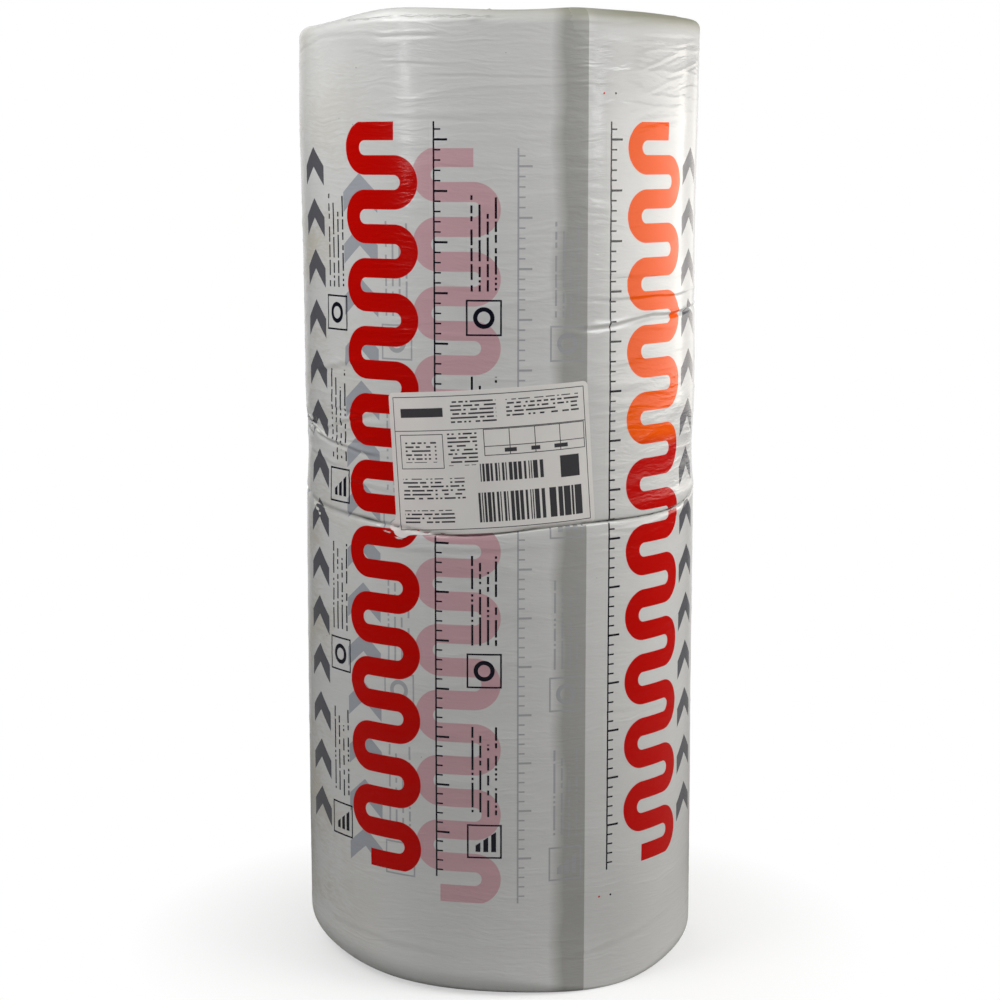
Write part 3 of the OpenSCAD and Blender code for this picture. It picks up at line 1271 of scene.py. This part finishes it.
    def build(self, outside: bpy.types.Material, inside: bpy.types.Material) -> bpy.types.Object:
        """Builds and dresses the film.

        Args:
            outside: Material of the printed face.
            inside: Material of the inner face.
        Returns:
            The film's object.
        """
        rows = sum(self.outer_rows) + sum(self.inner_rows)
        self.piece = lay_grid("printed_film", self.columns, rows, self.place)
        along, across = corner_shares(self.piece)
        angle, _, _, up, _ = self.unrolled(along, across)
        turned_in = sum(self.outer_rows) / rows
        on_inside = across.reshape(-1, 4).mean(axis=1) > turned_in
        at_corner = np.repeat(on_inside, 4)
        outer_up = self._bake_share(across / turned_in)
        inner_up = (across - turned_in) / (1 - turned_in)
        self.piece.data.uv_layers[0].name = "wrap"
        write_map(self.piece, "wrap", angle * self.radius, up)
        write_map(self.piece, "OFBake", along, np.where(at_corner, 0.07 * inner_up, 0.08 + 0.92 * outer_up))
        for name, values in (("wear", self.wear(angle, up)), ("slit", self.slit(angle, up))):
            layer = self.piece.data.attributes.new(name, "FLOAT", "CORNER")
            layer.data.foreach_set("value", np.where(at_corner, 0, values))
        self.piece.data.materials.append(outside)
        self.piece.data.materials.append(inside)
        self.piece.data.polygons.foreach_set("material_index", on_inside.astype(int))
        in_edit_mode(self.piece,
                     lambda: bpy.ops.mesh.remove_doubles(threshold=0.01 * MM),
                     lambda: bpy.ops.mesh.normals_make_consistent(inside=False))
        smooth_shade(self.piece, 50)
        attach(self.piece, "root")
        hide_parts("film_wrap")
        return self.piece

    def _bake_share(self, shares: Array) -> Array:
        """Spreads the outer face evenly over its part of the map for baking.

        Args:
            shares: Shares of the outer face's rows.
        Returns:
            Shares of the outer face's length.
        """
        rows = np.linspace(0, 1, 2001)
        across = rows * sum(self.outer_rows) / len(self._stations[1:])
        _, _, _, up, _ = self.unrolled(np.full_like(rows, 0.5), across)
        return np.interp(shares, rows, (up - up[0]) / (up[-1] - up[0]))


@dataclass
class PaperLabel:
    """The label: a paper sheet stuck on the film, with one corner torn and lifted.

    It is turned round the roll and leans a little, both in degrees.
    """

    width: float
    height: float
    middle: float
    radius: float
    turn: float = -2.6
    lean: float = 3.8
    corner: float = 5 * MM
    thickness: float = 0.25 * MM
    step: float = 2 * MM
    flap: float = 9 * MM
    piece: bpy.types.Object = field(init=False)

    def cover(self, angle: Array, up: Array) -> Array:
        """How far a point of the film lies under the label, with a soft edge.

        Args:
            angle: Angles from the front, in radians.
            up: Heights along the film.
        Returns:
            Shares from zero to one.
        """
        x = (angle - math.radians(self.turn)) * self.radius
        y = up - self.middle
        lean = math.radians(self.lean)
        a, b = x * math.cos(lean) + y * math.sin(lean), y * math.cos(lean) - x * math.sin(lean)
        beyond = np.maximum(np.abs(a) - self.width / 2, np.abs(b) - self.height / 2)
        return np.clip(0.5 - beyond / (16 * MM), 0, 1)

    def rounded(self, along: Array, across: Array) -> tuple[Array, Array]:
        """Places on the flat label, with its corners drawn in to a round.

        Args:
            along: Shares of the width.
            across: Shares of the height.
        Returns:
            Distances from the label's middle along and across it.
        """
        x, y = (along - 0.5) * self.width, (across - 0.5) * self.height
        a = np.abs(x) - (self.width / 2 - self.corner)
        b = np.abs(y) - (self.height / 2 - self.corner)
        near = (a > 0) & (b > 0)
        length = np.where(near, np.hypot(a, b), 1)
        pull = np.where(near, np.maximum(a, b) / length, 1)
        x = np.where(near, np.sign(x) * (self.width / 2 - self.corner + a * pull), x)
        y = np.where(near, np.sign(y) * (self.height / 2 - self.corner + b * pull), y)
        left, low = x + self.width / 2, y + self.height / 2
        ragged = 0.75 + 0.25 * np.sin(low / (1.3 * MM) + 2 * np.sin(low / (3.1 * MM)))
        out = self.flap * ragged * hump(low, 8 * MM, 7 * MM) * np.clip(1 - left / (8 * MM), 0, 1)
        down = 0.5 * self.flap * ragged * hump(left, 7 * MM, 5 * MM) * np.clip(1 - low / (8 * MM), 0, 1)
        return x - out, y - down

    def build(self, film: FilmWrap, material: bpy.types.Material) -> bpy.types.Object:
        """Builds and dresses the label on the film.

        Args:
            film: The film that carries the label.
            material: Material of the label.
        Returns:
            The label's object.
        """
        def place(along: Array, across: Array) -> Array:
            """Points of the label on the film.

            Args:
                along: Shares of the width.
                across: Shares of the height.
            Returns:
                One point for each pair of shares.
            """
            x, y = self.rounded(along, across)
            lean = math.radians(self.lean)
            arc = x * math.cos(lean) - y * math.sin(lean)
            up = self.middle + y * math.cos(lean) + x * math.sin(lean)
            angle = math.radians(self.turn) + arc / self.radius
            torn = hump(x, -self.width / 2 - self.flap, 15 * MM) * hump(y, -self.height / 2, 13 * MM)
            ripple = 0.6 * MM * np.sin((x + 1.4 * y) / (2.2 * MM))
            stand = film.relief(angle, up) + self.thickness + 0.15 * MM + torn * (1.2 * MM + ripple)
            radial = self.radius + np.maximum(stand, -2.2 * MM)
            return np.stack([radial * np.sin(angle), -radial * np.cos(angle), up], axis=1)

        columns, rows = round(self.width / self.step), round(self.height / self.step)
        self.piece = lay_grid("paper_label", columns, rows, place)
        along, across = corner_shares(self.piece)
        x, y = self.rounded(along, across)
        self.piece.data.uv_layers[0].name = "sheet"
        write_map(self.piece, "sheet", x + self.width / 2, y + self.height / 2)
        self.piece.data.materials.append(material)
        apply_modifier(self.piece, "SOLIDIFY", thickness=self.thickness, offset=-1)
        smooth_shade(self.piece, 50)
        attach(self.piece, "root")
        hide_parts("label")
        return self.piece


@dataclass
class WoundMat:
    """A mat of wool wound up on itself from its bore, with its turns showing on both ends."""

    node: str
    low: float
    high: float
    radius: float
    film: FilmWrap
    bore: float = 25 * MM
    pitch: float = 22.2 * MM
    gap: float = 1.3 * MM
    edge: float = 3.5 * MM
    recess: float = 3.2 * MM
    shoulder: float = 42 * MM
    tail: float = 60 * MM
    step: float = 7 * MM
    rows: int = 46
    seed: int = 3
    piece: bpy.types.Object = field(init=False)

    def place(self, along: Array, across: Array) -> Array:
        """Points of the wound mat.

        Args:
            along: Shares of the winding, from the bore out.
            across: Shares round the mat's own section, from the middle of its inner face.
        Returns:
            One point for each pair of shares.
        """
        angle = self.angle(along)
        out, up, _ = self.section(across)
        taper = np.clip((1 - along) * self.length / self.tail, 0.15, 1)
        radial = self.bore + self.pitch * angle / (2 * math.pi) + out * taper
        middle = (self.low + self.high) / 2
        shoulder = self.shoulder - np.sqrt(np.maximum(self.shoulder ** 2 - np.clip(
            radial - self.radius + self.shoulder, 0, self.shoulder) ** 2, 0))
        half = (self.high - self.low) / 2 - self.recess - shoulder
        level = np.clip(up, -half, half)
        relief = Weave(self.length, self.seed)
        run = along * self.length
        fluff = relief.at(run, across, 9 * MM, 0.012) + 0.8 * relief.at(run + 0.5, across, 32 * MM, 0.03)
        on_end = np.abs(np.abs(level) - half) < 2 * self.edge
        level = level + np.where(on_end, 1.1 * MM * fluff * np.sign(level), 0)
        under_film = on_end & (middle + level > self.film.joint + self.high / 4)
        level = level - np.where(under_film, self.film.dip(angle, radial), 0)
        return np.stack([radial * np.sin(angle), -radial * np.cos(angle), middle + level], axis=1)

    @property
    def turns(self) -> float:
        """Turns from the bore to the outside."""
        return (self.radius - self.bore) / self.pitch - 1

    @property
    def length(self) -> float:
        """Length of the mat along its inner face."""
        return 2 * math.pi * self.turns * (self.bore + self.pitch * self.turns / 2)

    def angle(self, along: Array) -> Array:
        """Angle turned after a share of the mat's length, which grows slower further out.

        Args:
            along: Shares of the winding, from the bore out.
        Returns:
            Angles in radians.
        """
        total = 2 * math.pi * self.turns
        start, rate = self.bore, self.pitch / (2 * math.pi)
        area = along * (start * total + rate * total * total / 2)
        return (np.sqrt(start * start + 2 * rate * area) - start) / rate

    def section(self, across: Array) -> tuple[Array, Array, Array]:
        """Walks once round the mat's section.

        Args:
            across: Shares of the walk, from the middle of the inner face over the upper end.
        Returns:
            The distance out from the inner face, the height from the middle, and the length walked.
        """
        thick, tall, edge = self.pitch - self.gap, self.high - self.low - 2 * self.recess, self.edge
        corners = [(0, 0), (0, tall / 2 - edge), (edge * 0.3, tall / 2 - edge * 0.3), (edge, tall / 2)]
        corners += [(thick * share, tall / 2) for share in (0.3, 0.45, 0.6, 0.75)]
        corners += [(thick - edge, tall / 2), (thick - edge * 0.3, tall / 2 - edge * 0.3),
                    (thick, tall / 2 - edge)]
        corners += [(thick, 0.0)] + [(out, -up) for out, up in reversed(corners)]
        points = np.array(corners)
        stations = np.linspace(0, 1, len(points))
        walked = np.concatenate([[0], np.cumsum(np.hypot(*np.diff(points, axis=0).T))])
        return (np.interp(across, stations, points[:, 0]), np.interp(across, stations, points[:, 1]),
                np.interp(across, stations, walked))

    def build(self, material: bpy.types.Material) -> bpy.types.Object:
        """Builds and dresses the mat.

        Args:
            material: Material of the wool.
        Returns:
            The mat's object.
        """
        columns = round(self.length / self.step)
        self.piece = lay_grid(f"wound_{self.node}", columns, self.rows, self.place)
        along, across = corner_shares(self.piece)
        _, _, walked = self.section(across)
        self.piece.data.uv_layers[0].name = "mat"
        write_map(self.piece, "mat", along * self.length, walked)
        in_edit_mode(self.piece,
                     lambda: bpy.ops.mesh.remove_doubles(threshold=0.01 * MM),
                     lambda: bpy.ops.mesh.select_all(action="DESELECT"),
                     lambda: bpy.ops.mesh.select_non_manifold(),
                     lambda: bpy.ops.mesh.edge_face_add(),
                     lambda: bpy.ops.mesh.select_all(action="SELECT"),
                     lambda: bpy.ops.mesh.normals_make_consistent(inside=False))
        self.piece.data.materials.append(material)
        smooth_shade(self.piece, 60)
        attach(self.piece, "root")
        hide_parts(self.node)
        return self.piece


@dataclass(frozen=True)
class Softbox:
    """A soft lamp that no camera sees. It lights the roll, and shows in its gloss where it is mirrored."""

    name: str
    place: tuple[float, float, float]
    aim: tuple[float, float, float]
    size: tuple[float, float]
    power: float
    tint: str = "#FFFFFF"
    mirrored: bool = True

    def add(self) -> None:
        """Adds the lamp to the scene, turned to what it lights."""
        data = bpy.data.lights.new(self.name, "AREA")
        data.shape = "RECTANGLE"
        data.size, data.size_y = self.size
        data.energy = self.power
        data.color = linear(self.tint)[:3]
        lamp = bpy.data.objects.new(self.name, data)
        lamp.location = self.place
        way = np.array(self.aim) - np.array(self.place)
        tilt = math.atan2(way[2], math.hypot(way[0], way[1]))
        swing = math.atan2(way[1], way[0])
        lamp.rotation_euler = (math.pi / 2 + tilt, 0, swing - math.pi / 2)
        lamp.visible_camera = False
        lamp.visible_glossy = self.mirrored
        bpy.context.collection.objects.link(lamp)


@dataclass
class Studio:
    """Pale floor, soft light and the camera, at the photograph's viewing angle.

    The camera's tip is in radians, its focal length and frame in pixels, and its sensor in millimetres.
    """

    distance: float = 2.4644
    eye: float = 0.863
    tip: float = 0.1511
    focal_px: float = 2287
    frame_px: float = 1000
    sensor: float = 36
    floor: str = "#F4F4F2"
    floor_size: float = 60
    bounce: str = "#7C7C7A"
    ambient: float = 0.13
    softboxes: tuple[Softbox, ...] = (
        Softbox("right_softbox", (1.4, 0.1, 0.73), (0, 0, 0.71), (1.8, 0.56), 9.6, "#FFFAF2"),
        Softbox("right_back_softbox", (1.4, 1.55, 0.67), (0, 0, 0.66), (1.2, 0.73), 2.9, "#FFFAF2"),
        Softbox("right_high_softbox", (1.3, -0.35, 1.75), (0, 0, 0.8), (0.5, 0.5), 3),
        Softbox("front_right_softbox", (1.65, -0.9, 1.6), (0, 0, 0.8), (1.0, 0.9), 20.5),
        Softbox("front_left_softbox", (-1.3, -1.05, 1.65), (0, 0, 0.85), (1.0, 0.9), 15.6),
        Softbox("right_strip", (1.5, -1.06, 0.94), (0, 0, 0.92), (0.12, 0.08), 0.8),
        Softbox("left_strip", (-1.5, -1.2, 0.96), (0, 0, 0.93), (0.14, 0.08), 0.8),
        Softbox("top_softbox", (-1.1, -0.5, 2.0), (0, 0, 0.95), (1.4, 1.2), 13.4),
        Softbox("back_softbox", (-0.6, 2.2, 1.7), (0, 0, 0.6), (1.4, 1.4), 10, mirrored=False),
    )

    def build(self) -> None:
        """Sets up the camera, the floor, the world and the lamps."""
        self._camera()
        self._floor()
        self._world()
        for softbox in self.softboxes:
            softbox.add()
        bpy.context.scene.view_settings.view_transform = "Standard"

    def _camera(self) -> None:
        """Adds the camera."""
        data = bpy.data.cameras.new("camera")
        data.sensor_width = self.sensor
        data.lens = self.focal_px / self.frame_px * self.sensor
        camera = bpy.data.objects.new("camera", data)
        camera.location = (0, -self.distance, self.eye)
        camera.rotation_euler = (math.pi / 2 - self.tip, 0, 0)
        bpy.context.collection.objects.link(camera)
        bpy.context.scene.camera = camera

    def _floor(self) -> None:
        """Adds the floor, which keeps the roll's shadow and fades to white round it."""
        bpy.ops.object.select_all(action="DESELECT")
        bpy.ops.mesh.primitive_plane_add(size=self.floor_size)
        floor = bpy.context.object
        floor.name = "studio_floor"
        material, shader = new_material("pale_studio_floor")
        tree = material.node_tree
        path = add_node(tree, "ShaderNodeLightPath")
        place = add_node(tree, "ShaderNodeTexCoord")
        away = add_node(tree, "ShaderNodeVectorMath", {0: place.outputs["Object"]}, operation="LENGTH")
        parts = add_node(tree, "ShaderNodeSeparateXYZ", {0: place.outputs["Object"]})
        formula = Formula(tree, away=away.outputs["Value"], back=parts.outputs[1], **self._rays(path))
        formula.write("seen", "max(camera, max(glossy, through) * clamp(6 * back / away - 5))")
        formula.write("white", "clamp(0.55 + (away - 0.21) / 0.45) * seen")
        formula.write("pale", "max(camera, 0.3 * clamp((0.4 - away) / 0.15))")
        tone = add_node(tree, "ShaderNodeMix", {"Factor": formula.names["pale"], "A": linear(self.bounce),
                                                "B": linear(self.floor)}, data_type="RGBA")
        tree.links.new(tone.outputs["Result"], shader.inputs["Base Color"])
        shader.inputs["Roughness"].default_value = 0.9
        glow = add_node(tree, "ShaderNodeEmission", {"Strength": 1.0})
        mix = add_node(tree, "ShaderNodeMixShader", {0: formula.names["white"], 1: shader.outputs[0],
                                                     2: glow.outputs[0]})
        tree.links.new(mix.outputs[0], tree.nodes["Material Output"].inputs["Surface"])
        floor.data.materials.append(material)

    @staticmethod
    def _rays(path: bpy.types.Node) -> dict[str, bpy.types.NodeSocket]:
        """The kinds of ray that see the white background, by name."""
        return {"camera": path.outputs["Is Camera Ray"], "glossy": path.outputs["Is Glossy Ray"],
                "through": path.outputs["Is Transmission Ray"]}

    def _world(self) -> None:
        """Sets a soft world light, white where the camera sees it and behind the roll in reflections."""
        world = bpy.data.worlds.new("studio_world")
        bpy.context.scene.world = world
        world.use_nodes = True
        tree = world.node_tree
        path = add_node(tree, "ShaderNodeLightPath")
        way = add_node(tree, "ShaderNodeTexCoord")
        parts = add_node(tree, "ShaderNodeSeparateXYZ", {0: way.outputs["Generated"]})
        formula = Formula(tree, ambient=self.ambient, back=parts.outputs[1], up=parts.outputs[2],
                          **self._rays(path))
        formula.write("high", "max(up, 0)")
        formula.write("dimmed", "ambient * (0.3 + 2.6 * high * (1 - high))")
        formula.write("seen", "max(camera, max(glossy, through) * clamp(6 * back - 5))")
        formula.write("level", "dimmed + (1 - dimmed) * seen")
        tree.links.new(formula.names["level"], tree.nodes["Background"].inputs["Strength"])
        tree.nodes["Background"].inputs["Color"].default_value = (1, 1, 1, 1)


def main() -> None:
    """Builds every piece of the roll in order, then the studio."""
    logging.basicConfig(level=logging.INFO, format="%(name)s: %(message)s")
    film_low, film_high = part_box("film_wrap")
    label_low, label_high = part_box("label")
    radius = (film_high[0] - film_low[0]) / 2
    # The wool keeps clear of the film's inner face.
    wool_radius = radius - 9 * MM
    label = PaperLabel(width=208 * MM, height=144 * MM, middle=(label_low[2] + label_high[2]) / 2,
                       radius=radius)
    film = FilmWrap(radius, height=film_high[2], joint=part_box("lower_mat_roll")[1][2], label=label)
    # The print repeats twice round the roll.
    finish = PrintedFilm(PrintLayout(period=math.pi * radius / MM))
    pieces = [film.build(finish.make(), finish.inside()), label.build(film, LabelPaper().make())]
    wool = StoneWool().make()
    for node in ("lower_mat_roll", "upper_mat_roll"):
        low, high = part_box(node)
        pieces.append(WoundMat(node, low[2], high[2], wool_radius, film).build(wool))
    for piece in pieces:
        LOG.info("%s: %d faces", piece.name, len(piece.data.polygons))
    Studio().build()


if __name__ == "__main__":
    main()
